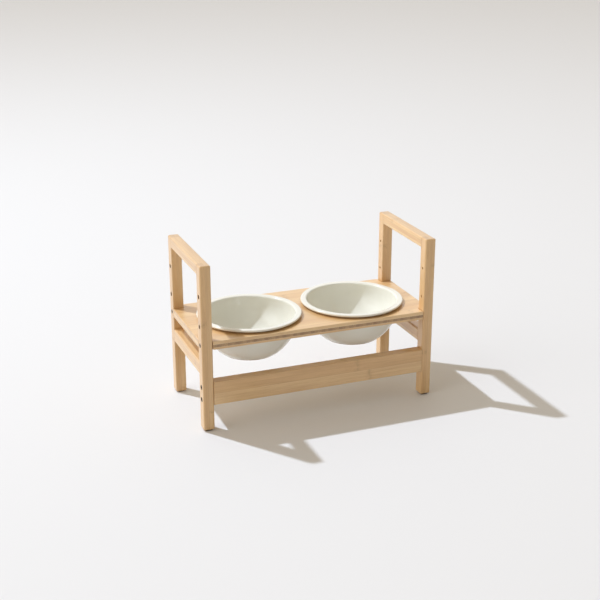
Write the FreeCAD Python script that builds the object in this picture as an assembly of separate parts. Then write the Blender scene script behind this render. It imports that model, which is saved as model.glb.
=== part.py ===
import FreeCAD
import Part
import math
import os

from FreeCAD import Vector

# Raised feeder: two bamboo end frames, a front stretcher and a shelf that hangs two ceramic bowls.
# The origin is on the floor under the middle; X runs along the length, Y to the back, Z up.
# All lengths are in millimetres.

# General fits
overrun = 1.0
same_place = 1e-6

# Bowls: a rounded rim over a collar that sits on the shelf, a curved wall and a low foot ring
rim_radius = 86.5
rim_thickness = 3.6
rim_overhang = 5.5
rim_lift = 3.0
lip_round = 3.0
collar_seat_width = 1.2
bowl_wall = 3.5
bowl_drop = 61.0
bowl_floor = 6.0
foot_radius = 47.0
foot_height = 2.5
foot_ring_width = 5.0
foot_flare = 3.0
floor_radius = 46.0
bowl_hole_clearance = 0.6

# Room round the bowls
gap_between_rims = 10.0
gap_rim_to_post = 4.0
shelf_margin = 10.2

# Posts of square bar, eased along their outer edges
post_side = 18.0
post_round = 2.5
post_chamfer = 0.8

# Foot pads
pad_thickness = 2.0
pad_inset = 3.0
pad_round = 2.0

# Front stretcher
stretcher_bottom = 44.0
stretcher_height = 39.3
stretcher_thickness = 18.0
stretcher_round = 1.5

# Rails between the posts of an end frame
gap_stretcher_to_side_rail = 10.2
side_rail_height = 22.0
top_rail_height = 18.0
rail_round = 2.5

# Shelf of three plies, notched round the posts
top_ply_thickness = 5.5
core_ply_thickness = 4.5
bottom_ply_thickness = 4.0
shelf_clearance = 0.5
shelf_round = 1.2

# Height settings: room under the lowest shelf, two steps up, and room over the highest shelf
gap_side_rail_to_shelf = 22.5
first_step = 31.0
second_step = 49.0
gap_shelf_to_top_rail = 26.0

# Pegs that carry the shelf; each shank stops at a thin wall, which only its spigot passes
peg_diameter = 7.0
peg_clearance = 0.05
peg_chamfer = 0.5
peg_socket_width = 4.0
peg_socket_depth = 4.0
peg_seat_wall = 4.0
spigot_diameter = 4.0
spigot_length = 15.0
spigot_clearance = 0.1
spigot_end_gap = 1.0

# Dowels in the rail joints
dowel_diameter = 5.0
dowel_length = 24.0
dowel_spacing = 8.0
dowel_chamfer = 0.5
dowel_clearance = 0.05
dowels_per_joint = 2

# Bolts and barrel nuts that hold the stretcher's ends
bolt_diameter = 5.0
bolt_clearance = 0.1
bolt_chamfer = 0.5
bolt_head_diameter = 8.0
bolt_head_height = 5.0
bolt_head_clearance = 0.2
bolt_socket_width = 4.0
bolt_socket_depth = 3.0
bolt_spacing = 21.0
bolt_tip_length = 6.0
nut_diameter = 8.0
nut_length = 14.0
nut_clearance = 0.1
nut_setback = 20.0
nut_slot_width = 1.2
nut_slot_depth = 1.5

# Worked out: the bowls' seats
collar_radius = rim_radius - rim_overhang
bowl_hole_radius = collar_radius - collar_seat_width
bowl_centre = rim_radius + gap_between_rims / 2

# Worked out: the plan of the stand
post_inner_x = bowl_centre + rim_radius + gap_rim_to_post
half_length = post_inner_x + post_side
half_depth = bowl_hole_radius + shelf_margin
post_inner_y = half_depth - post_side
post_centre_x = half_length - post_side / 2
post_centre_y = half_depth - post_side / 2
shoulder_x = post_inner_x - shelf_clearance
tongue_y = post_inner_y - shelf_clearance
stretcher_middle_y = stretcher_thickness / 2 - half_depth
shank_length = post_side - peg_seat_wall

# Worked out: the heights from the floor up
stretcher_middle_z = stretcher_bottom + stretcher_height / 2
side_rail_bottom = stretcher_bottom + stretcher_height + gap_stretcher_to_side_rail
shelf_thickness = top_ply_thickness + core_ply_thickness + bottom_ply_thickness
shelf_bottom = side_rail_bottom + side_rail_height + gap_side_rail_to_shelf
shelf_top = shelf_bottom + shelf_thickness
low_hole_height = shelf_bottom + shelf_thickness / 2
middle_hole_height = low_hole_height + first_step
high_hole_height = middle_hole_height + second_step
top_rail_bottom = high_hole_height + shelf_thickness / 2 + gap_shelf_to_top_rail
stand_height = top_rail_bottom + top_rail_height

ALONG_X = Vector(1, 0, 0)
ALONG_Y = Vector(0, 1, 0)
ALONG_Z = Vector(0, 0, 1)
SIDES = {"left": -1, "right": 1}
ENDS = {"front": -1, "rear": 1}


def block(corner, far_corner):
    low = Vector(*[min(pair) for pair in zip(corner, far_corner)])
    high = Vector(*[max(pair) for pair in zip(corner, far_corner)])
    size = high - low
    return Part.makeBox(size.x, size.y, size.z, low)


def rod(diameter, start, direction, length):
    return Part.makeCylinder(diameter / 2, length, start, direction)


def eased_rod(diameter, start, direction, length, chamfer):
    solid = rod(diameter, start, direction, length)
    rims = [edge for edge in solid.Edges if isinstance(edge.Curve, Part.Circle)]
    return solid.makeChamfer(chamfer, rims)


def hex_socket(width, start, direction, depth):
    corner_radius = width / math.sqrt(3)
    corners = []
    for turn in range(0, 361, 60):
        angle = math.radians(turn)
        corners.append(start + Vector(0, math.cos(angle), math.sin(angle)) * corner_radius)
    return Part.Face(Part.makePolygon(corners)).extrude(direction * depth)


def runs_along(edge, direction):
    return edge.tangentAt(edge.FirstParameter).cross(direction).Length < same_place


def edges_along(solid, direction):
    return [edge for edge in solid.Edges if runs_along(edge, direction)]


def hole_heights():
    return [low_hole_height, middle_hole_height, high_hole_height]


def bolt_heights():
    return [stretcher_middle_z - bolt_spacing / 2, stretcher_middle_z + bolt_spacing / 2]


def top_rail_middle():
    return top_rail_bottom + top_rail_height / 2


def side_rail_middle():
    return side_rail_bottom + side_rail_height / 2


def dowel_places(side, end, height):
    # The middles of the dowels in one joint, on the plane where the rail meets the post.
    first = post_centre_x * side - dowel_spacing * (dowels_per_joint - 1) / 2
    across = [first + dowel_spacing * count for count in range(dowels_per_joint)]
    return [Vector(x, post_inner_y * end, height) for x in across]


def dowel_holes(side, end, height):
    diameter = dowel_diameter + 2 * dowel_clearance
    back = ALONG_Y * (dowel_length / 2)
    return [rod(diameter, place - back, ALONG_Y, dowel_length) for place in dowel_places(side, end, height)]


def make_post(side, end):
    # A full-height bar, rounded along its outer edges and chamfered towards the rails, which run on flush.
    inner_y = post_inner_y * end
    outer_corner = Vector(half_length * side, half_depth * end, pad_thickness)
    solid = block(outer_corner, Vector(post_inner_x * side, inner_y, stand_height))
    rounded = [edge for edge in solid.Edges if abs(edge.CenterOfMass.y - inner_y) > same_place]
    solid = solid.makeFillet(post_round, rounded)

    cuts = []
    half_cutter = post_chamfer / math.sqrt(2)
    for edge_x in (half_length * side, post_inner_x * side):
        far_corner = Vector(half_cutter, half_cutter, stand_height + overrun)
        cutter = block(Vector(-half_cutter, -half_cutter, 0), far_corner)
        cutter.rotate(Vector(0, 0, 0), ALONG_Z, 45)
        cutter.translate(Vector(edge_x, inner_y, 0))
        cuts.append(cutter)

    inwards = ALONG_X * -side
    outside = (half_length + overrun) * side
    through = post_side + 2 * overrun
    for height in hole_heights():
        start = Vector(outside, post_centre_y * end, height)
        cuts.append(rod(peg_diameter + 2 * peg_clearance, start, inwards, shank_length + overrun))
        cuts.append(rod(spigot_diameter + 2 * spigot_clearance, start, inwards, through))
    if end == ENDS["front"]:
        for height in bolt_heights():
            start = Vector(outside, stretcher_middle_y, height)
            cuts.append(rod(bolt_diameter + 2 * bolt_clearance, start, inwards, through))
            head_hole = bolt_head_diameter + 2 * bolt_head_clearance
            cuts.append(rod(head_hole, start, inwards, bolt_head_height + overrun))
    cuts += dowel_holes(side, end, top_rail_middle())
    cuts += dowel_holes(side, end, side_rail_middle())
    return solid.cut(cuts)


def make_rail(side, bottom, height):
    # A bar between two posts, as wide as they are, butted and dowelled at both ends.
    outer_corner = Vector(half_length * side, -post_inner_y, bottom)
    solid = block(outer_corner, Vector(post_inner_x * side, post_inner_y, bottom + height))
    solid = solid.makeFillet(rail_round, edges_along(solid, ALONG_Y))
    cuts = []
    for end in ENDS.values():
        cuts += dowel_holes(side, end, bottom + height / 2)
    return solid.cut(cuts)


def make_rail_dowels(side, height):
    dowels = []
    back = ALONG_Y * (dowel_length / 2)
    for end in ENDS.values():
        for place in dowel_places(side, end, height):
            dowels.append(eased_rod(dowel_diameter, place - back, ALONG_Y, dowel_length, dowel_chamfer))
    return Part.makeCompound(dowels)


def make_foot_pad(side, end):
    reach = post_side / 2 - pad_inset
    centre = Vector(post_centre_x * side, post_centre_y * end, 0)
    solid = block(centre - Vector(reach, reach, 0), centre + Vector(reach, reach, pad_thickness))
    return solid.makeFillet(pad_round, edges_along(solid, ALONG_Z))


def nut_place(side, height):
    return Vector((post_inner_x - nut_setback) * side, stretcher_middle_y, height)


def make_stretcher():
    # A board on edge, flush with the front of the posts, with blind nut holes in its rear face.
    low = Vector(-post_inner_x, -half_depth, stretcher_bottom)
    high = Vector(post_inner_x, stretcher_thickness - half_depth, stretcher_bottom + stretcher_height)
    solid = block(low, high)
    solid = solid.makeFillet(stretcher_round, edges_along(solid, ALONG_X))
    bolt_hole_depth = nut_setback + bolt_tip_length + 2 * overrun
    pocket_depth = nut_length / 2 + stretcher_thickness / 2 + overrun
    cuts = []
    for side in SIDES.values():
        for height in bolt_heights():
            start = Vector((post_inner_x + overrun) * side, stretcher_middle_y, height)
            cuts.append(rod(bolt_diameter + 2 * bolt_clearance, start, ALONG_X * -side, bolt_hole_depth))
            pocket = nut_place(side, height) - ALONG_Y * (nut_length / 2)
            cuts.append(rod(nut_diameter + 2 * nut_clearance, pocket, ALONG_Y, pocket_depth))
    return solid.cut(cuts)


def make_bolts(side):
    # Socket bolts whose heads lie flush in the posts and whose tips pass through the nuts.
    inwards = ALONG_X * -side
    length = post_side + nut_setback + bolt_tip_length
    bolts = []
    for height in bolt_heights():
        start = Vector(half_length * side, stretcher_middle_y, height)
        head = eased_rod(bolt_head_diameter, start, inwards, bolt_head_height, bolt_chamfer)
        shank = eased_rod(bolt_diameter, start, inwards, length, bolt_chamfer)
        socket = hex_socket(bolt_socket_width, start, inwards, bolt_socket_depth)
        bolts.append(head.fuse(shank).removeSplitter().cut(socket))
    return Part.makeCompound(bolts)


def make_nuts(side):
    # Barrel nuts across the bolts, with a screwdriver slot in the end that shows.
    nuts = []
    across = Vector(nut_diameter, 0, 0)
    for height in bolt_heights():
        middle = nut_place(side, height)
        half = ALONG_Y * (nut_length / 2)
        thread_hole = rod(bolt_diameter + 2 * bolt_clearance, middle - across, ALONG_X, 2 * nut_diameter)
        slot_floor = middle + half - ALONG_Y * nut_slot_depth
        slot_half = ALONG_Z * (nut_slot_width / 2)
        slot = block(slot_floor - across - slot_half, middle + half + across + slot_half)
        nuts.append(rod(nut_diameter, middle - half, ALONG_Y, nut_length).cut([thread_hole, slot]))
    return Part.makeCompound(nuts)


def make_peg(side, end):
    # A peg flush with the post's outer face, with a thinner spigot that reaches into the shelf's shoulder.
    inwards = ALONG_X * -side
    start = Vector(half_length * side, post_centre_y * end, low_hole_height)
    shank = eased_rod(peg_diameter, start, inwards, shank_length, peg_chamfer)
    spigot = eased_rod(spigot_diameter, start, inwards, post_side + spigot_length, peg_chamfer)
    socket = hex_socket(peg_socket_width, start, inwards, peg_socket_depth)
    return shank.fuse(spigot).removeSplitter().cut(socket)


def shelf_outline(height):
    # The board between the end frames, with a tongue at each end that passes between the posts.
    quarter = [(half_length, tongue_y), (shoulder_x, tongue_y), (shoulder_x, half_depth)]
    points = [Vector(x, y, height) for x, y in quarter]
    points += [Vector(-x, y, height) for x, y in reversed(quarter)]
    points += [Vector(-x, -y, height) for x, y in quarter]
    points += [Vector(x, -y, height) for x, y in reversed(quarter)]
    return Part.Face(Part.makePolygon(points + points[:1]))


def shelf_cuts():
    # Round holes for the bowls, and a slot over each spigot that is open below, so that the shelf lifts off.
    below = shelf_bottom - overrun
    through = shelf_thickness + 2 * overrun
    slot_reach = spigot_length + spigot_end_gap + overrun
    slot_half = spigot_diameter / 2 + spigot_clearance
    cuts = []
    for side in SIDES.values():
        cuts.append(rod(2 * bowl_hole_radius, Vector(bowl_centre * side, 0, below), ALONG_Z, through))
        for end in ENDS.values():
            mouth = Vector((post_inner_x + overrun) * side, post_centre_y * end, low_hole_height)
            cuts.append(rod(2 * slot_half, mouth, ALONG_X * -side, slot_reach))
            low_corner = Vector(mouth.x, mouth.y - slot_half, below)
            cuts.append(block(low_corner, mouth + Vector(-slot_reach * side, slot_half, 0)))
    return cuts


def make_ply(bottom, thickness, eased_height=None):
    # One ply of the shelf. The outer plies are eased along the outline of their free face.
    solid = shelf_outline(bottom).extrude(ALONG_Z * thickness)
    if eased_height is not None:
        rim = []
        for edge in solid.Edges:
            if all(abs(vertex.Z - eased_height) < same_place for vertex in edge.Vertexes):
                rim.append(edge)
        solid = solid.makeFillet(shelf_round, rim)
    return solid.cut(shelf_cuts())


def wall_arc(top, foot):
    # A round wall that leaves its top upright and curves in to its foot.
    inset = top.x - foot.x
    drop = top.z - foot.z
    radius = (inset ** 2 + drop ** 2) / (2 * inset)
    half_turn = math.atan2(drop, radius - inset) / 2
    middle = top + Vector(math.cos(half_turn) - 1, 0, -math.sin(half_turn)) * radius
    return Part.Arc(top, middle, foot).toShape()


def quarter_round(start, finish, corner):
    # A quarter circle in place of the square corner between start and finish.
    centre = start + finish - corner
    radius = (start - centre).Length
    middle = centre + (corner - centre).normalize() * radius
    return Part.Arc(start, middle, finish).toShape()


def make_bowl(side):
    # A lathe shape: rounded rim, a collar that sits on the shelf, a round wall and a low foot ring.
    outer_radius = bowl_hole_radius - bowl_hole_clearance
    inner_radius = outer_radius - bowl_wall
    underside = shelf_top + rim_lift
    rim_top = underside + rim_thickness
    edge_radius = rim_thickness / 2
    bottom = shelf_top - bowl_drop
    base = bottom + foot_height
    ring_inner = foot_radius - foot_ring_width

    floor_middle = Vector(0, 0, base + bowl_floor)
    floor_edge = Vector(floor_radius, 0, base + bowl_floor)
    wall_inside = Vector(inner_radius, 0, rim_top - lip_round)
    lip_corner = Vector(inner_radius, 0, rim_top)
    lip_inside = Vector(inner_radius + lip_round, 0, rim_top)
    lip_outside = Vector(rim_radius - edge_radius, 0, rim_top)
    rim_edge = Vector(rim_radius, 0, underside + edge_radius)
    rim_below = Vector(rim_radius - edge_radius, 0, underside)
    collar_top = Vector(collar_radius, 0, underside)
    collar_seat = Vector(collar_radius, 0, shelf_top)
    wall_top = Vector(outer_radius, 0, shelf_top)
    wall_foot = Vector(foot_radius + foot_flare, 0, base)
    ring_top = Vector(foot_radius, 0, base)
    ring_outside = Vector(foot_radius, 0, bottom)
    ring_inside = Vector(ring_inner, 0, bottom)
    recess_edge = Vector(ring_inner, 0, base)
    recess_middle = Vector(0, 0, base)

    outline = [
        Part.makeLine(floor_middle, floor_edge),
        wall_arc(wall_inside, floor_edge),
        quarter_round(wall_inside, lip_inside, lip_corner),
        Part.makeLine(lip_inside, lip_outside),
        Part.Arc(lip_outside, rim_edge, rim_below).toShape(),
    ]
    corners = [rim_below, collar_top, collar_seat, wall_top]
    outline += [Part.makeLine(one, following) for one, following in zip(corners, corners[1:])]
    outline.append(wall_arc(wall_top, wall_foot))
    corners = [wall_foot, ring_top, ring_outside, ring_inside, recess_edge, recess_middle, floor_middle]
    outline += [Part.makeLine(one, following) for one, following in zip(corners, corners[1:])]
    solid = Part.Face(Part.Wire(outline)).revolve(Vector(0, 0, 0), ALONG_Z, 360)
    solid.translate(ALONG_X * (bowl_centre * side))
    return solid


pieces = {}
for side_name, side in SIDES.items():
    for end_name, end in ENDS.items():
        corner_name = side_name + "_" + end_name
        pieces[corner_name + "_post"] = make_post(side, end)
        pieces[corner_name + "_foot_pad"] = make_foot_pad(side, end)
        pieces[corner_name + "_shelf_peg"] = make_peg(side, end)
    pieces[side_name + "_top_rail"] = make_rail(side, top_rail_bottom, top_rail_height)
    pieces[side_name + "_side_rail"] = make_rail(side, side_rail_bottom, side_rail_height)
    pieces[side_name + "_top_rail_dowels"] = make_rail_dowels(side, top_rail_middle())
    pieces[side_name + "_side_rail_dowels"] = make_rail_dowels(side, side_rail_middle())
    pieces[side_name + "_stretcher_bolts"] = make_bolts(side)
    pieces[side_name + "_stretcher_nuts"] = make_nuts(side)
    pieces[side_name + "_bowl"] = make_bowl(side)
pieces["front_stretcher"] = make_stretcher()
core_bottom = shelf_bottom + bottom_ply_thickness
pieces["shelf_bottom_ply"] = make_ply(shelf_bottom, bottom_ply_thickness, shelf_bottom)
pieces["shelf_core_ply"] = make_ply(core_bottom, core_ply_thickness)
pieces["shelf_top_ply"] = make_ply(core_bottom + core_ply_thickness, top_ply_thickness, shelf_top)

os.makedirs("parts", exist_ok=True)
for name, shape in pieces.items():
    shape.exportStep("parts/" + name + ".step")
    print(name, "solids", len(shape.Solids), "valid", shape.isValid(), "volume", round(shape.Volume, 1))
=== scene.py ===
import math

import bmesh
import bpy
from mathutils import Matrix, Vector


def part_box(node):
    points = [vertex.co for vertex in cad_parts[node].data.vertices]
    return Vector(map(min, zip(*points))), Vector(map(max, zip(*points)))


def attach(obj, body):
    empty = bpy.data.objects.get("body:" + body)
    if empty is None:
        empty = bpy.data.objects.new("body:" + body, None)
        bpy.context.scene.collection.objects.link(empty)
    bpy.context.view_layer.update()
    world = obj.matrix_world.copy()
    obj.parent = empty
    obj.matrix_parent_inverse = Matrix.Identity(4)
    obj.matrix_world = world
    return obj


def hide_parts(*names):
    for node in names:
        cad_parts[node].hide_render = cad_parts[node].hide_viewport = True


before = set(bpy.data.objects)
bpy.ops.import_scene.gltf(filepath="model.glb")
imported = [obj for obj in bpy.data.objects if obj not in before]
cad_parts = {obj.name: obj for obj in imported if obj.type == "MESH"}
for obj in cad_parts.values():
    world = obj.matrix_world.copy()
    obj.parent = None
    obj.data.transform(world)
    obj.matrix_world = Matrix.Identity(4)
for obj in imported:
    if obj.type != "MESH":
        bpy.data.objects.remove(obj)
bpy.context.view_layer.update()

# Posts: four full-height bars of laminated bamboo, two strips glued side by side, planed, eased along the
# edges and lacquered satin. The peg holes are drilled from outside. Their walls are painted dark brown,
# partly as drill scorch and partly as painted shade inside the bores.
MM = 1000
POST_STRIPS = {"X": 2, "Y": 1}
POST_FIRST_TONE = 0.85
POST_KNUCKLES = {"left_front": 180, "left_rear": 95, "right_front": 78, "right_rear": 215}
PALE_STRIP = "#ECCA95"
DEEP_STRIP = "#DEB47B"
HALF_KNUCKLE_SPACING = 150
END_GRAIN = 0.15
PEG_HOLE_HEIGHTS = (145, 176, 225)
PEG_HOLE_RADIUS = 3.55
PEG_HOLE_DEPTH = 14


def linear(colour):
    # The linear red, green, blue and alpha of an sRGB hex colour.
    channels = [int(colour[start:start + 2], 16) / 255 for start in (1, 3, 5)]
    return tuple(c / 12.92 if c <= 0.04045 else ((c + 0.055) / 1.055) ** 2.4 for c in channels) + (1.0,)


def add_node(tree, kind, settings, inputs):
    # One node with its settings. An input is a value, a socket, or a node whose first live output is linked.
    node = tree.nodes.new(kind)
    for name, value in settings.items():
        setattr(node, name, value)
    for key, value in inputs.items():
        sockets = [node.inputs[key]] if isinstance(key, int) else [s for s in node.inputs if s.name == key]
        socket = next(s for s in sockets if s.enabled)
        if isinstance(value, bpy.types.Node):
            value = next(s for s in value.outputs if s.enabled)
        if isinstance(value, bpy.types.NodeSocket):
            tree.links.new(value, socket)
        else:
            socket.default_value = value
    return node


def new_material(name):
    material = bpy.data.materials.new(name)
    material.use_nodes = True
    material.node_tree.nodes.clear()
    return material, material.node_tree


def dress(node, material):
    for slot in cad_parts[node].material_slots:
        slot.material = material


def laminated_bamboo(node, grain, strips, first_tone, knuckle, knuckle_step, cut_depth, bores=()):
    # Strip bamboo under satin lacquer: straight fibres that never cross a glue line, each strip with its own
    # tone, brown knuckles where the cane had its joints, paler edges that are partly sanding and partly a
    # painted highlight, and dark pores where the ends are cut.
    # Sizes are in millimetres; each pattern has a length along the grain and a width across it.
    cloud_length, cloud_width = 150, 13
    streak_length, streak_width = 110, 2.2
    # Fibre bundles are about 0.2 mm wide, with pores 0.5 mm apart. Both are drawn coarser, so that they show.
    fleck_length, fleck_width = 16, 0.55
    pore_spacing = 1.1
    seam_width = 0.3
    knuckle_spacing = 2 * HALF_KNUCKLE_SPACING
    knuckle_zone, knuckle_line, knuckle_waver, waver_size = 8.0, 1.3, 5.0, 6.0
    eased_edge = 1.3
    scorch_and_shade_width = 0.3
    relief_depth = 0.06
    # Each stain's full share. A stain from noise has the noise where it starts and is full before that.
    cloud_stain, streak_stain, fleck_stain = (0.4, 0.75, 0.45), (0.45, 0.75, 0.5), (0.52, 0.75, 0.5)
    zone_stain, line_stain = 0.2, 0.14
    patch_start, patch_full, patch_least, patch_most = 0.4, 0.6, 0.25, 1.2
    pore_heart, pore_edge, pore_stain = 0.2, 0.45, 0.8
    sanded_and_highlit_share, seam_stain, column_stain, scorch_and_shade_share = 0.35, 0.3, 0.6, 0.7
    strip_tone_steps = (0.618, 0.236)
    strip_jump = 170
    side_facing, end_facing = 0.7, 0.95
    sheen_start, sheen_full, smoothest, roughest = 0.3, 0.7, 0.4, 0.54
    lacquer_roughness = 0.28
    fibre_brown = linear("#C49660")
    knuckle_brown = linear("#8E6434")
    seam_brown = linear("#96723F")
    sanded_and_highlit_edge = linear("#F0DFBC")
    cut_brown = linear("#B28A5A")
    pore_brown = linear("#6F4C29")
    scorch_and_shade_brown = linear("#54381F")

    low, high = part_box(node)
    size = dict(zip("XYZ", (high - low) * MM))
    corner = low * MM
    material, tree = new_material(node + "_bamboo")
    place = add_node(tree, "ShaderNodeTexCoord", {}, {})
    inside = add_node(tree, "ShaderNodeMapping", {}, {
        "Vector": place.outputs["Object"], "Location": -corner, "Scale": (MM, MM, MM)})
    axes = add_node(tree, "ShaderNodeSeparateXYZ", {}, {0: inside})

    # Strips: which one a point lies in, how near it is to a glue line, and how deep from the long edges.
    tone, picks, seams, depths = first_tone, [], [], []
    for (axis, count), step in zip(strips.items(), strip_tone_steps):
        cell = size[axis] / count
        cells = add_node(tree, "ShaderNodeMath", {"operation": "DIVIDE"}, {0: axes.outputs[axis], 1: cell})
        pick = add_node(tree, "ShaderNodeMath", {"operation": "FLOOR"}, {0: cells})
        picks.append(pick)
        tone = add_node(tree, "ShaderNodeMath", {"operation": "MULTIPLY_ADD"}, {0: pick, 1: step, 2: tone})
        nearest = add_node(tree, "ShaderNodeMath", {"operation": "ROUND"}, {0: cells})
        away = add_node(tree, "ShaderNodeMath", {"operation": "SUBTRACT"}, {0: cells, 1: nearest})
        away = add_node(tree, "ShaderNodeMath", {"operation": "ABSOLUTE"}, {0: away})
        line = add_node(tree, "ShaderNodeMapRange", {}, {
            "Value": away, "From Max": seam_width / cell, "To Min": 1.0, "To Max": 0.0})
        glued = add_node(tree, "ShaderNodeMath", {"operation": "COMPARE"}, {
            0: nearest, 1: count / 2, 2: count / 2 - 0.5})
        seams.append(add_node(tree, "ShaderNodeMath", {"operation": "MULTIPLY"}, {0: line, 1: glued}))
        offset = add_node(tree, "ShaderNodeMath", {"operation": "SUBTRACT"}, {
            0: axes.outputs[axis], 1: size[axis] / 2})
        offset = add_node(tree, "ShaderNodeMath", {"operation": "ABSOLUTE"}, {0: offset})
        depths.append(add_node(tree, "ShaderNodeMath", {"operation": "SUBTRACT"}, {
            0: size[axis] / 2, 1: offset}))
    tone = add_node(tree, "ShaderNodeMath", {"operation": "FRACT"}, {0: tone})
    seam = add_node(tree, "ShaderNodeMath", {"operation": "MAXIMUM"}, {0: seams[0], 1: seams[1]})
    depth = add_node(tree, "ShaderNodeMath", {"operation": "MAXIMUM"}, {0: depths[0], 1: depths[1]})

    # Fibres: noise drawn out along the grain, from slow clouds of tone to fine dashes.
    jump = add_node(tree, "ShaderNodeMath", {"operation": "MULTIPLY"}, {0: tone, 1: strip_jump})
    fibres = []
    for length, width in (
            (cloud_length, cloud_width), (streak_length, streak_width), (fleck_length, fleck_width)):
        stretch = [1 / length if axis == grain else 1 / width for axis in "XYZ"]
        drawn = add_node(tree, "ShaderNodeVectorMath", {"operation": "MULTIPLY_ADD"}, {
            0: inside, 1: stretch, 2: jump})
        fibres.append(add_node(tree, "ShaderNodeTexNoise", {}, {
            "Vector": drawn, "Scale": 1.0, "Detail": 2.0, "Roughness": 0.55}))
    fleck = fibres[-1]

    # Knuckles: a wavering line with a soft zone round it, at its own place along each strip.
    waver = add_node(tree, "ShaderNodeTexNoise", {}, {
        "Vector": inside, "Scale": 1 / waver_size, "Detail": 1.0})
    along = add_node(tree, "ShaderNodeMath", {"operation": "MULTIPLY_ADD"}, {
        0: waver, 1: knuckle_waver, 2: axes.outputs[grain]})
    for pick in picks:
        along = add_node(tree, "ShaderNodeMath", {"operation": "MULTIPLY_ADD"}, {
            0: pick, 1: knuckle_step, 2: along})
    along = add_node(tree, "ShaderNodeMath", {"operation": "SUBTRACT"}, {
        0: along, 1: knuckle + knuckle_waver / 2})
    turns = add_node(tree, "ShaderNodeMath", {"operation": "DIVIDE"}, {0: along, 1: knuckle_spacing})
    nearest = add_node(tree, "ShaderNodeMath", {"operation": "ROUND"}, {0: turns})
    off = add_node(tree, "ShaderNodeMath", {"operation": "SUBTRACT"}, {0: turns, 1: nearest})
    off = add_node(tree, "ShaderNodeMath", {"operation": "ABSOLUTE"}, {0: off})
    zone = add_node(tree, "ShaderNodeMapRange", {"interpolation_type": "SMOOTHSTEP"}, {
        "Value": off, "From Max": knuckle_zone / knuckle_spacing, "To Min": zone_stain, "To Max": 0.0})
    mark = add_node(tree, "ShaderNodeMapRange", {}, {
        "Value": off, "From Max": knuckle_line / knuckle_spacing, "To Min": line_stain, "To Max": 0.0})
    knot = add_node(tree, "ShaderNodeMath", {"operation": "ADD"}, {0: zone, 1: mark})
    patch = add_node(tree, "ShaderNodeMapRange", {}, {
        "Value": waver, "From Min": patch_start, "From Max": patch_full,
        "To Min": patch_least, "To Max": patch_most})
    knot = add_node(tree, "ShaderNodeMath", {"operation": "MULTIPLY"}, {0: knot, 1: patch})

    # Cut ends: the faces across the grain, with the pores of the fibre bundles.
    facing = add_node(tree, "ShaderNodeSeparateXYZ", {}, {0: place.outputs["Normal"]})
    facing = add_node(tree, "ShaderNodeMath", {"operation": "ABSOLUTE"}, {0: facing.outputs[grain]})
    cut = add_node(tree, "ShaderNodeMapRange", {}, {
        "Value": facing, "From Min": side_facing, "From Max": end_facing, "To Max": cut_depth})
    pores = add_node(tree, "ShaderNodeTexVoronoi", {}, {"Vector": inside, "Scale": 1 / pore_spacing})
    pores = add_node(tree, "ShaderNodeMapRange", {}, {
        "Value": pores.outputs["Distance"], "From Min": pore_heart, "From Max": pore_edge,
        "To Min": pore_stain, "To Max": 0.0})
    pores = add_node(tree, "ShaderNodeMath", {"operation": "MULTIPLY"}, {0: pores, 1: cut})

    # Colour: the strip's tone, then the fibres, and then the marks on it.
    stains = []
    for noise, (start, full, share) in zip(fibres, (cloud_stain, streak_stain, fleck_stain)):
        stains.append((add_node(tree, "ShaderNodeMapRange", {}, {
            "Value": noise, "From Min": start, "From Max": full, "To Max": share}), fibre_brown))
    stains.append((knot, knuckle_brown))
    # Paler along the long edges: partly sanding, partly a painted highlight.
    stains.append((add_node(tree, "ShaderNodeMapRange", {}, {
        "Value": depth, "From Max": eased_edge, "To Min": sanded_and_highlit_share, "To Max": 0.0}), sanded_and_highlit_edge))
    stains.append((add_node(tree, "ShaderNodeMath", {"operation": "MULTIPLY"}, {
        0: seam, 1: seam_stain}), seam_brown))
    columns = add_node(tree, "ShaderNodeMath", {"operation": "MULTIPLY"}, {0: tone, 1: cut})
    columns = add_node(tree, "ShaderNodeMath", {"operation": "MULTIPLY"}, {0: columns, 1: column_stain})
    stains += [(cut, cut_brown), (columns, pore_brown), (pores, pore_brown)]
    # Bores: dark brown on the walls and in a thin ring round the mouth, partly drill scorch, partly painted
    # shade.
    for bore in bores:
        sideways = add_node(tree, "ShaderNodeVectorMath", {"operation": "MULTIPLY_ADD"}, {
            0: inside, 1: (0, 1, 1), 2: (corner - bore) * Vector((0, 1, 1))})
        reach = add_node(tree, "ShaderNodeVectorMath", {"operation": "LENGTH"}, {0: sideways})
        near = add_node(tree, "ShaderNodeMath", {"operation": "COMPARE"}, {
            0: axes.outputs["X"], 1: bore.x - corner.x, 2: PEG_HOLE_DEPTH})
        scorch_and_shade_mask = add_node(tree, "ShaderNodeMapRange", {}, {
            "Value": reach, "From Min": PEG_HOLE_RADIUS, "From Max": PEG_HOLE_RADIUS + scorch_and_shade_width,
            "To Min": scorch_and_shade_share, "To Max": 0.0})
        stains.append((add_node(tree, "ShaderNodeMath", {"operation": "MULTIPLY"}, {
            0: scorch_and_shade_mask, 1: near}), scorch_and_shade_brown))
    colour = add_node(tree, "ShaderNodeMix", {"data_type": "RGBA"}, {
        "Factor": tone, "A": linear(PALE_STRIP), "B": linear(DEEP_STRIP)})
    for amount, stain in stains:
        colour = add_node(tree, "ShaderNodeMix", {"data_type": "RGBA"}, {
            "Factor": amount, "A": colour, "B": stain})

    # Satin lacquer, a little open over the fibres, with the glue lines and dashes just felt.
    satin = add_node(tree, "ShaderNodeMapRange", {}, {
        "Value": fleck, "From Min": sheen_start, "From Max": sheen_full,
        "To Min": smoothest, "To Max": roughest})
    height = add_node(tree, "ShaderNodeMath", {"operation": "SUBTRACT"}, {0: fleck, 1: seam})
    relief = add_node(tree, "ShaderNodeBump", {}, {
        "Strength": 0.5, "Distance": relief_depth / MM, "Height": height})
    shader = add_node(tree, "ShaderNodeBsdfPrincipled", {}, {
        "Base Color": colour, "Roughness": satin, "Normal": relief, "Coat Weight": 1.0,
        "Coat Roughness": lacquer_roughness})
    add_node(tree, "ShaderNodeOutputMaterial", {}, {"Surface": shader})
    return material


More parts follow.
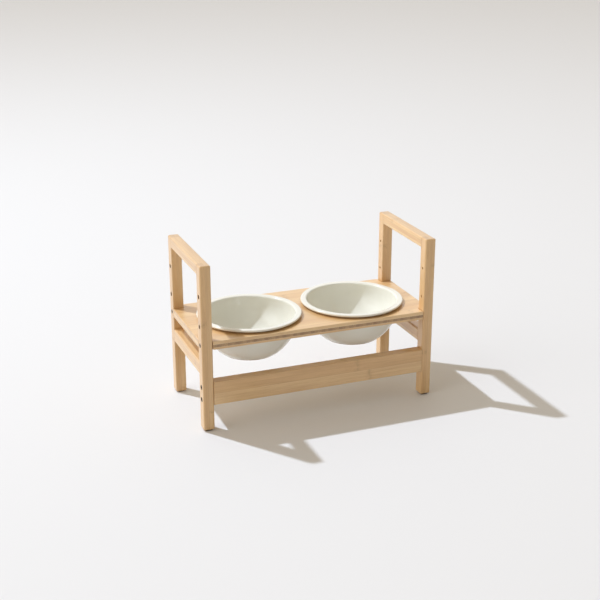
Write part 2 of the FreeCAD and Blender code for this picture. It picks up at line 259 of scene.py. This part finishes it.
for corner_name, knuckle_height in POST_KNUCKLES.items():
    post = corner_name + "_post"
    low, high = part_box(post)
    across = (low + high).y / 2 * MM
    outer_face = (low.x if "left" in corner_name else high.x) * MM
    bores = [Vector((outer_face, across, height)) for height in PEG_HOLE_HEIGHTS]
    dress(post, laminated_bamboo(post, "Z", POST_STRIPS, POST_FIRST_TONE, knuckle_height,
                                 HALF_KNUCKLE_SPACING, END_GRAIN, bores))

# Rails: bars of the same laminated bamboo butted between the posts of each end frame, glued and dowelled.
# The top ones are the handles. Their strips lie flat, so that their sides show three bands.
RAIL_STRIPS = {"Z": 3, "X": 1}
RAIL_FIRST_TONE = 0.2
RAIL_KNUCKLES = {"left_top_rail": 290, "right_top_rail": 200, "left_side_rail": 66, "right_side_rail": 20}
RAIL_KNUCKLE_STEP = 45
for rail, knuckle_place in RAIL_KNUCKLES.items():
    dress(rail, laminated_bamboo(rail, "Y", RAIL_STRIPS, RAIL_FIRST_TONE, knuckle_place,
                                 RAIL_KNUCKLE_STEP, END_GRAIN))

# Dowels: short beech pins glued into the rails and posts, out of sight once the frame is together.
# Beech is pinkish brown with short flecks along the grain, drawn a little coarse here, and the pins are raw.
BEECH_GRAIN = (0.6, 12, 0.6)


def fine_grained(name, grain, dark, light, metallic, smooth, rough, relief):
    # A finish with one fine grain all over, from dark and smooth to light and rough. The grain's size along
    # X, Y and Z and its relief are in millimetres.
    sheen_start, sheen_full = 0.3, 0.7
    material, tree = new_material(name)
    place = add_node(tree, "ShaderNodeTexCoord", {}, {})
    spread = add_node(tree, "ShaderNodeVectorMath", {"operation": "MULTIPLY"}, {
        0: place.outputs["Object"], 1: [MM / size for size in grain]})
    grit = add_node(tree, "ShaderNodeTexNoise", {}, {"Vector": spread, "Scale": 1.0, "Detail": 3.0})
    colour = add_node(tree, "ShaderNodeMix", {"data_type": "RGBA"}, {
        "Factor": grit, "A": linear(dark), "B": linear(light)})
    sheen = add_node(tree, "ShaderNodeMapRange", {}, {
        "Value": grit, "From Min": sheen_start, "From Max": sheen_full, "To Min": smooth, "To Max": rough})
    bump = add_node(tree, "ShaderNodeBump", {}, {"Strength": 0.5, "Distance": relief / MM, "Height": grit})
    shader = add_node(tree, "ShaderNodeBsdfPrincipled", {}, {
        "Base Color": colour, "Metallic": metallic, "Roughness": sheen, "Normal": bump})
    add_node(tree, "ShaderNodeOutputMaterial", {}, {"Surface": shader})
    return material


beech = fine_grained("beech", BEECH_GRAIN, dark="#C69565", light="#E2BE93", metallic=0.0,
                     smooth=0.55, rough=0.75, relief=0.08)
for side in ("left", "right"):
    dress(side + "_top_rail_dowels", beech)
    dress(side + "_side_rail_dowels", beech)

# Foot pads: thin square pads stuck under the posts. They are moulded from dark rubber, which is dull and a
# little pebbled. The pebbles, about 0.3 mm, are drawn coarser, so that they show.
RUBBER_GRAIN = (0.8, 0.8, 0.8)
rubber = fine_grained("moulded_rubber", RUBBER_GRAIN, dark="#3A322B", light="#4C4238", metallic=0.0,
                      smooth=0.7, rough=0.9, relief=0.05)
for corner_name in POST_KNUCKLES:
    dress(corner_name + "_foot_pad", rubber)

# Front stretcher: one laminated bamboo board on edge between the front posts, flush with their faces. Its two
# broad strips have their knuckles close together, right of the middle.
STRETCHER_STRIPS = {"Z": 2, "Y": 1}
STRETCHER_FIRST_TONE = 0.25
STRETCHER_KNUCKLE = 268
STRETCHER_KNUCKLE_STEP = 22
dress("front_stretcher", laminated_bamboo("front_stretcher", "X", STRETCHER_STRIPS, STRETCHER_FIRST_TONE,
                                          STRETCHER_KNUCKLE, STRETCHER_KNUCKLE_STEP, END_GRAIN))

# Bolts and barrel nuts: steel socket bolts, their heads flush in the posts, screwed into barrel nuts that lie
# across the board. Black oxide leaves the bolts satin black, and zinc plating the nuts pale and cloudy. Their
# crystals are far too fine to show, so the grain is that of the blotches that handling leaves.
OXIDE_GRAIN = (1.5, 1.5, 1.5)
ZINC_GRAIN = (2.0, 2.0, 2.0)
black_steel = fine_grained("black_oxide_steel", OXIDE_GRAIN, dark="#1B1A19", light="#3A3733", metallic=1.0,
                           smooth=0.34, rough=0.5, relief=0.02)
zinc = fine_grained("zinc_plated_steel", ZINC_GRAIN, dark="#B9BBBC", light="#D8D7D0", metallic=1.0,
                    smooth=0.26, rough=0.42, relief=0.02)
for side in ("left", "right"):
    dress(side + "_stretcher_bolts", black_steel)
    dress(side + "_stretcher_nuts", zinc)

# Shelf: a board of three bamboo plies pressed together. The outer plies have their grain along its length.
# The core is laid across them, so that its cut ends show as short brown columns along the long edges.
FACE_STRIPS = {"Y": 9, "Z": 1}
FACE_FIRST_TONES = {"shelf_top_ply": 0.1, "shelf_bottom_ply": 0.5}
FACE_KNUCKLES = {"shelf_top_ply": 130, "shelf_bottom_ply": 60}
SHELF_KNUCKLE_STEP = 67
CORE_STRIPS = {"X": 66, "Z": 1}
CORE_FIRST_TONE = 0.3
CORE_KNUCKLE = 60
CORE_END_GRAIN = 0.85
for ply, knuckle_place in FACE_KNUCKLES.items():
    dress(ply, laminated_bamboo(ply, "X", FACE_STRIPS, FACE_FIRST_TONES[ply], knuckle_place,
                                SHELF_KNUCKLE_STEP, END_GRAIN))
dress("shelf_core_ply", laminated_bamboo("shelf_core_ply", "Y", CORE_STRIPS, CORE_FIRST_TONE, CORE_KNUCKLE,
                                         SHELF_KNUCKLE_STEP, CORE_END_GRAIN))

# Pegs: black-oxide steel, flush in the posts, each with a hex socket, a coarse thread that grips the wood and
# a thinner spigot in the shelf's shoulder. The thread is cut as a V groove that winds round the shank.
PEG_RADIUS = 3.5
THREAD_PITCH = 2.2
THREAD_DEPTH = 0.7
THREAD_START = 3.0
THREAD_LENGTH = 9.5
STEPS_PER_TURN = 40
GROOVE_SIDES = 4
THREAD_CREASE = math.radians(20)
MERGE_DISTANCE = 0.001


def new_tree(name, inputs):
    # A Geometry Nodes tree with named inputs and one shape as its output.
    tree = bpy.data.node_groups.new(name, "GeometryNodeTree")
    for label, kind in inputs.items():
        tree.interface.new_socket(label, in_out="INPUT", socket_type="NodeSocket" + kind)
    tree.interface.new_socket("Shape", in_out="OUTPUT", socket_type="NodeSocketGeometry")
    return tree, add_node(tree, "NodeGroupInput", {}, {}).outputs


def bake(name, mesh, tree, values):
    # An object with the mesh that the tree makes of the one it is given.
    piece = bpy.data.objects.new(name, mesh)
    bpy.context.scene.collection.objects.link(piece)
    maker = piece.modifiers.new(tree.name, "NODES")
    maker.node_group = tree
    for item in tree.interface.items_tree:
        if item.name in values:
            maker[item.identifier] = values[item.name]
    bpy.context.view_layer.update()
    made = bpy.data.meshes.new_from_object(piece.evaluated_get(bpy.context.evaluated_depsgraph_get()))
    piece.modifiers.clear()
    piece.data = made
    return piece


# The cutter: a right-hand helix swept with a small diamond, which sinks half its height into the shank.
thread, given = new_tree("thread_cutter", {
    "Blank": "Geometry", "Merge Distance": "Float", "Shank Radius": "Float", "Turns": "Float",
    "Length": "Float", "Depth": "Float", "Steps Per Turn": "Int", "Lean": "Rotation", "Place": "Vector",
    "Crease": "Float", "Finish": "Material"})
helix = add_node(thread, "GeometryNodeCurveSpiral", {}, {
    "Resolution": given["Steps Per Turn"], "Rotations": given["Turns"], "Start Radius": given["Shank Radius"],
    "End Radius": given["Shank Radius"], "Height": given["Length"], "Reverse": True})
helix = add_node(thread, "GeometryNodeSetCurveNormal", {"mode": "Z_UP"}, {"Curve": helix})
groove = add_node(thread, "GeometryNodeCurvePrimitiveCircle", {}, {
    "Resolution": GROOVE_SIDES, "Radius": given["Depth"]})
groove = add_node(thread, "GeometryNodeCurveToMesh", {}, {
    "Curve": helix, "Profile Curve": groove, "Fill Caps": True})
groove = add_node(thread, "GeometryNodeTransform", {}, {
    "Geometry": groove, "Rotation": given["Lean"], "Translation": given["Place"]})
whole = add_node(thread, "GeometryNodeMergeByDistance", {}, {
    "Geometry": given["Blank"], "Distance": given["Merge Distance"]})
threaded = add_node(thread, "GeometryNodeMeshBoolean", {"operation": "DIFFERENCE", "solver": "EXACT"}, {
    "Mesh 1": whole, "Mesh 2": groove})
bend = add_node(thread, "GeometryNodeInputMeshEdgeAngle", {}, {})
crease = add_node(thread, "FunctionNodeCompare", {"data_type": "FLOAT", "operation": "GREATER_THAN"}, {
    "A": bend, "B": given["Crease"]})
threaded = add_node(thread, "GeometryNodeSetShadeSmooth", {"domain": "FACE"}, {"Geometry": threaded})
threaded = add_node(thread, "GeometryNodeSetShadeSmooth", {"domain": "EDGE"}, {
    "Geometry": threaded, "Selection": crease, "Shade Smooth": False})
threaded = add_node(thread, "GeometryNodeRealizeInstances", {}, {"Geometry": threaded})
threaded = add_node(thread, "GeometryNodeSetMaterial", {}, {
    "Geometry": threaded, "Material": given["Finish"]})
add_node(thread, "NodeGroupOutput", {}, {"Shape": threaded})

for corner_name in POST_KNUCKLES:
    peg = corner_name + "_shelf_peg"
    low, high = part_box(peg)
    inward = 1 if "left" in corner_name else -1
    outer_face = low.x if "left" in corner_name else high.x
    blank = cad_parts[peg].data.copy()
    blank.materials[0] = black_steel
    middle = (low + high) / 2
    screw = bake(corner_name + "_threaded_peg", blank, thread, {
        "Merge Distance": MERGE_DISTANCE / MM, "Shank Radius": PEG_RADIUS / MM,
        "Turns": THREAD_LENGTH / THREAD_PITCH, "Length": THREAD_LENGTH / MM,
        "Depth": THREAD_DEPTH / MM, "Steps Per Turn": STEPS_PER_TURN,
        "Lean": (0.0, inward * math.pi / 2, 0.0), "Crease": THREAD_CREASE,
        "Place": (outer_face + inward * THREAD_START / MM, middle.y, middle.z), "Finish": black_steel})
    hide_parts(peg)
    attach(screw, corner_name + "_peg")

# Bowls: slip-cast stoneware dipped in a glossy off-white glaze and hung in the shelf's holes. A thin flat lip
# stands just clear of the shelf on a narrow collar. The foot ring is wiped bare before firing. The collar is
# painted the same dull clay brown, as painted shade in the gap under the lip.
RIM_THICKNESS = 3.6
RIM_OVERHANG = 5.5
LIP_ROUND = 3.0
COLLAR_SEAT = 1.2
HOLE_CLEARANCE = 0.6
BOWL_WALL = 3.5
BOWL_FLOOR = 6.0
FLOOR_RADIUS = 46.0
FLOOR_ROUND = 14.0
FOOT_RADIUS = 47.0
FOOT_HEIGHT = 2.5
FOOT_RING_WIDTH = 5.0
FOOT_FLARE = 3.0
GLAZE_ROUND = 0.6
FOOT_ROUND = 1.0
STEPS_ROUND = 192
STEPS_PER_CORNER = 14
INNER_BEND_SHARE = 0.88
POLE_MERGE = 0.01
shelf_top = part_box("shelf_top_ply")[1].z * MM
low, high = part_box("left_bowl")
bowl_centre = abs(low.x + high.x) / 2 * MM
rim_radius = (high.x - low.x) / 2 * MM
rim_top = high.z * MM
foot_bottom = low.z * MM
underside = rim_top - RIM_THICKNESS
collar_radius = rim_radius - RIM_OVERHANG
wall_radius = collar_radius - COLLAR_SEAT - HOLE_CLEARANCE
inner_radius = wall_radius - BOWL_WALL
foot_top = foot_bottom + FOOT_HEIGHT
floor_height = foot_top + BOWL_FLOOR
ring_inside = FOOT_RADIUS - FOOT_RING_WIDTH
flare_radius = FOOT_RADIUS + FOOT_FLARE


def round_wall(radius, top, foot_radius, foot):
    # The corner to round off, and its rounding, for a wall that starts upright and curves in to its foot.
    inset = radius - foot_radius
    drop = top - foot
    bend = (inset ** 2 + drop ** 2) / (2 * inset)
    turn = math.atan2(drop, bend - inset)
    return radius, top - bend * math.tan(turn / 2), bend


def glazed_ceramic():
    # Fired glaze over buff clay: glossy, pooled a little unevenly, thinner and warmer along the lip's edge.
    # The foot ring is bare clay, brown and dull. The collar is painted the same dull brown, as painted shade
    # in the gap under the lip. Sizes are in millimetres.
    pool_size, ripple_size, ripple_depth = 40, 9, 0.1
    lip_fade, lip_thinning = 1.5, 0.35
    wipe_margin = 0.2
    bare_share, glaze_share = 0.4, 0.5
    glaze_roughness, clay_roughness = 0.14, 0.8
    material, tree = new_material("glazed_ceramic")
    place = add_node(tree, "ShaderNodeTexCoord", {}, {})
    inside = add_node(tree, "ShaderNodeVectorMath", {"operation": "SCALE"}, {
        0: place.outputs["Object"], "Scale": MM})
    axes = add_node(tree, "ShaderNodeSeparateXYZ", {}, {0: inside})
    across = add_node(tree, "ShaderNodeMath", {"operation": "ABSOLUTE"}, {0: axes.outputs["X"]})
    across = add_node(tree, "ShaderNodeMath", {"operation": "SUBTRACT"}, {0: across, 1: bowl_centre})
    spoke = add_node(tree, "ShaderNodeCombineXYZ", {}, {"X": across, "Y": axes.outputs["Y"]})
    radius = add_node(tree, "ShaderNodeVectorMath", {"operation": "LENGTH"}, {0: spoke})
    thin = add_node(tree, "ShaderNodeMapRange", {}, {
        "Value": radius, "From Min": rim_radius - lip_fade, "From Max": rim_radius, "To Max": lip_thinning})
    bare_clay_and_gap_shade = add_node(tree, "ShaderNodeMapRange", {}, {
        "Value": axes.outputs["Z"], "From Min": foot_bottom + bare_share * FOOT_HEIGHT,
        "From Max": foot_bottom + glaze_share * FOOT_HEIGHT, "To Min": 1.0, "To Max": 0.0})
    # The collar between the shelf and the lip is painted clay brown: painted shade for the gap under the lip.
    ring = add_node(tree, "ShaderNodeMath", {"operation": "COMPARE"}, {
        0: radius, 1: (collar_radius + wall_radius) / 2, 2: (collar_radius - wall_radius) / 2 + wipe_margin})
    band = add_node(tree, "ShaderNodeMath", {"operation": "COMPARE"}, {
        0: axes.outputs["Z"], 1: (shelf_top + underside) / 2, 2: (underside - shelf_top) / 2 + wipe_margin})
    painted_gap_shade = add_node(tree, "ShaderNodeMath", {"operation": "MULTIPLY"}, {0: ring, 1: band})
    bare_clay_and_gap_shade = add_node(tree, "ShaderNodeMath", {"operation": "MAXIMUM"}, {0: bare_clay_and_gap_shade, 1: painted_gap_shade})
    pools = add_node(tree, "ShaderNodeTexNoise", {}, {
        "Vector": inside, "Scale": 1 / pool_size, "Detail": 2.0})
    colour = add_node(tree, "ShaderNodeMix", {"data_type": "RGBA"}, {
        "Factor": pools, "A": linear("#EEEEE5"), "B": linear("#E8E8DD")})
    colour = add_node(tree, "ShaderNodeMix", {"data_type": "RGBA"}, {
        "Factor": thin, "A": colour, "B": linear("#DCCFB8")})
    # Clay brown: bare clay on the foot ring, painted shade on the collar.
    colour = add_node(tree, "ShaderNodeMix", {"data_type": "RGBA"}, {
        "Factor": bare_clay_and_gap_shade, "A": colour, "B": linear("#A78A66")})
    gloss = add_node(tree, "ShaderNodeMapRange", {}, {
        "Value": bare_clay_and_gap_shade, "To Min": glaze_roughness, "To Max": clay_roughness})
    ripple = add_node(tree, "ShaderNodeTexNoise", {}, {
        "Vector": inside, "Scale": 1 / ripple_size, "Detail": 1.0})
    relief = add_node(tree, "ShaderNodeBump", {}, {
        "Strength": 0.4, "Distance": ripple_depth / MM, "Height": ripple})
    shader = add_node(tree, "ShaderNodeBsdfPrincipled", {}, {
        "Base Color": colour, "Roughness": gloss, "Normal": relief, "IOR": 1.5})
    add_node(tree, "ShaderNodeOutputMaterial", {}, {"Surface": shader})
    return material


inner_x, inner_z, inner_bend = round_wall(inner_radius, rim_top - LIP_ROUND, FLOOR_RADIUS, floor_height)
outline = [
    (0, floor_height, 0), (FLOOR_RADIUS, floor_height, FLOOR_ROUND),
    (inner_x, inner_z, inner_bend * INNER_BEND_SHARE),
    (inner_radius, rim_top, LIP_ROUND), (rim_radius, rim_top, RIM_THICKNESS / 2),
    (rim_radius, underside, RIM_THICKNESS / 2), (collar_radius, underside, GLAZE_ROUND),
    (collar_radius, shelf_top, GLAZE_ROUND), (wall_radius, shelf_top, 0),
    round_wall(wall_radius, shelf_top, flare_radius, foot_top),
    (flare_radius, foot_top, FOOT_ROUND), (FOOT_RADIUS, foot_top, FOOT_ROUND),
    (FOOT_RADIUS, foot_bottom, FOOT_ROUND), (ring_inside, foot_bottom, FOOT_ROUND),
    (ring_inside, foot_top, FOOT_ROUND), (0, foot_top, 0),
]

# The lathe: the outline's corners are rounded, then it is swept round a circle. The sweep turns Y downwards.
lathe, given = new_tree("bowl_lathe", {
    "Outline": "Geometry", "Lathe Radius": "Float", "Steps Round": "Int", "Steps Per Corner": "Int",
    "Place": "Vector", "Glaze": "Material"})
rounding = add_node(lathe, "GeometryNodeInputNamedAttribute", {"data_type": "FLOAT"}, {"Name": "rounding"})
curve = add_node(lathe, "GeometryNodeMeshToCurve", {}, {"Mesh": given["Outline"]})
curve = add_node(lathe, "GeometryNodeFilletCurve", {"mode": "POLY"}, {
    "Curve": curve, "Count": given["Steps Per Corner"], "Radius": rounding, "Limit Radius": True})
circle = add_node(lathe, "GeometryNodeCurvePrimitiveCircle", {}, {
    "Resolution": given["Steps Round"], "Radius": given["Lathe Radius"]})
circle = add_node(lathe, "GeometryNodeSetCurveNormal", {"mode": "Z_UP"}, {"Curve": circle})
swept = add_node(lathe, "GeometryNodeCurveToMesh", {}, {"Curve": circle, "Profile Curve": curve})
swept = add_node(lathe, "GeometryNodeMergeByDistance", {}, {"Geometry": swept, "Distance": POLE_MERGE / MM})
swept = add_node(lathe, "GeometryNodeSetShadeSmooth", {}, {"Geometry": swept})
swept = add_node(lathe, "GeometryNodeTransform", {}, {"Geometry": swept, "Translation": given["Place"]})
swept = add_node(lathe, "GeometryNodeRealizeInstances", {}, {"Geometry": swept})
swept = add_node(lathe, "GeometryNodeSetMaterial", {}, {"Geometry": swept, "Material": given["Glaze"]})
add_node(lathe, "NodeGroupOutput", {}, {"Shape": swept})

glaze = glazed_ceramic()
for side, turn in (("left", -1), ("right", 1)):
    outline_mesh = bpy.data.meshes.new("bowl_outline")
    points = [((radius - rim_radius) / MM, -height / MM, 0) for radius, height, _ in outline]
    outline_mesh.from_pydata(points, [(start, start + 1) for start in range(len(points) - 1)], [])
    rounding = outline_mesh.attributes.new("rounding", "FLOAT", "POINT")
    rounding.data.foreach_set("value", [bend / MM for _, _, bend in outline])
    bowl = bake(side + "_ceramic_bowl", outline_mesh, lathe, {
        "Lathe Radius": rim_radius / MM, "Steps Round": STEPS_ROUND, "Steps Per Corner": STEPS_PER_CORNER,
        "Place": (turn * bowl_centre / MM, 0.0, 0.0), "Glaze": glaze})
    shell = bmesh.new()
    shell.from_mesh(bowl.data)
    bmesh.ops.recalc_face_normals(shell, faces=shell.faces)
    shell.to_mesh(bowl.data)
    shell.free()
    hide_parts(side + "_bowl")
    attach(bowl, side + "_bowl")

# Floor: a plain pale sweep.
FLOOR_REACH = 9
floor_mesh = bpy.data.meshes.new("floor")
corners = [(-FLOOR_REACH, -FLOOR_REACH, 0), (FLOOR_REACH, -FLOOR_REACH, 0), (FLOOR_REACH, FLOOR_REACH, 0),
           (-FLOOR_REACH, FLOOR_REACH, 0)]
floor_mesh.from_pydata(corners, [], [(0, 1, 2, 3)])
floor = bpy.data.objects.new("floor", floor_mesh)
bpy.context.scene.collection.objects.link(floor)
pale_floor, tree = new_material("pale_floor")
shader = add_node(tree, "ShaderNodeBsdfPrincipled", {}, {"Base Color": linear("#E2E3E4"), "Roughness": 0.9})
add_node(tree, "ShaderNodeOutputMaterial", {}, {"Surface": shader})
floor_mesh.materials.append(pale_floor)

# Light: a small bright key high at the left rear, a broad soft panel at the left, and an even warm room. The
# room that the camera and the reflections see has the far floor's tone, and clears to white higher up.
KEY_PLACE = Vector((-1.13, 1.17, 2.43))
KEY_RADIUS = 0.04
KEY_STRENGTH = 28.3
KEY_COLOUR = (0.92, 1.0, 1.14)
PANEL_SIDE = Vector((-1.0, -0.1, 0.3))
PANEL_SPREAD = math.radians(60)
PANEL_STRENGTH = 1.0
FRONT_FILL, REAR_FILL = 0.17, 0.88
WARM_FILL = (1.0, 0.87, 0.70, 1.0)
CLEAR_HEIGHT = 0.35
key = bpy.data.lights.new("key", "POINT")
key.shadow_soft_size = KEY_RADIUS
key.energy = KEY_STRENGTH
key.color = KEY_COLOUR
key.use_nodes = True
even = add_node(key.node_tree, "ShaderNodeLightFalloff", {}, {"Strength": 1.0})
key.node_tree.links.new(even.outputs["Constant"], key.node_tree.nodes["Emission"].inputs["Strength"])
panel = bpy.data.lights.new("panel", "SUN")
panel.angle = PANEL_SPREAD
panel.energy = PANEL_STRENGTH
for lamp, spot in ((key, KEY_PLACE), (panel, PANEL_SIDE)):
    lamp_object = bpy.data.objects.new(lamp.name, lamp)
    lamp_object.location = spot
    lamp_object.rotation_euler = (-spot).to_track_quat("-Z", "Y").to_euler()
    bpy.context.scene.collection.objects.link(lamp_object)
world = bpy.data.worlds.new("room")
world.use_nodes = True
bpy.context.scene.world = world
tree = world.node_tree
tree.nodes.clear()
rays = add_node(tree, "ShaderNodeLightPath", {}, {})
seen = add_node(tree, "ShaderNodeMath", {"operation": "ADD"}, {
    0: rays.outputs["Is Camera Ray"], 1: rays.outputs["Is Glossy Ray"]})
seen = add_node(tree, "ShaderNodeMath", {"operation": "ADD", "use_clamp": True}, {
    0: seen, 1: rays.outputs["Is Transmission Ray"]})
facing = add_node(tree, "ShaderNodeTexCoord", {}, {})
facing = add_node(tree, "ShaderNodeSeparateXYZ", {}, {0: facing.outputs["Generated"]})
fill = add_node(tree, "ShaderNodeMapRange", {}, {
    "Value": facing.outputs["Y"], "From Min": -1.0, "To Min": FRONT_FILL, "To Max": REAR_FILL})
warm_room = add_node(tree, "ShaderNodeBackground", {}, {"Color": WARM_FILL, "Strength": fill})
rise = add_node(tree, "ShaderNodeMapRange", {}, {"Value": facing.outputs["Z"], "From Max": CLEAR_HEIGHT})
backdrop = add_node(tree, "ShaderNodeMix", {"data_type": "RGBA"}, {
    "Factor": rise, "A": linear("#D3D1CE"), "B": linear("#FFFFFF")})
pale_room = add_node(tree, "ShaderNodeBackground", {}, {"Color": backdrop, "Strength": 1.0})
room = add_node(tree, "ShaderNodeMixShader", {}, {0: seen, 1: warm_room, 2: pale_room})
add_node(tree, "ShaderNodeOutputWorld", {}, {"Surface": room})

# Camera: at the photograph's angle.
CAMERA_PLACE = Vector((-0.66475, -1.69681, 0.83232))
CAMERA_AIM = Vector((-0.00197, 0, 0.16642))
LENS = 70
SENSOR_WIDTH = 36
camera_data = bpy.data.cameras.new("camera")
camera_data.lens = LENS
camera_data.sensor_width = SENSOR_WIDTH
camera = bpy.data.objects.new("camera", camera_data)
camera.location = CAMERA_PLACE
camera.rotation_euler = (CAMERA_AIM - CAMERA_PLACE).to_track_quat("-Z", "Y").to_euler()
bpy.context.scene.collection.objects.link(camera)
bpy.context.scene.camera = camera
bpy.context.scene.view_settings.view_transform = "Standard"
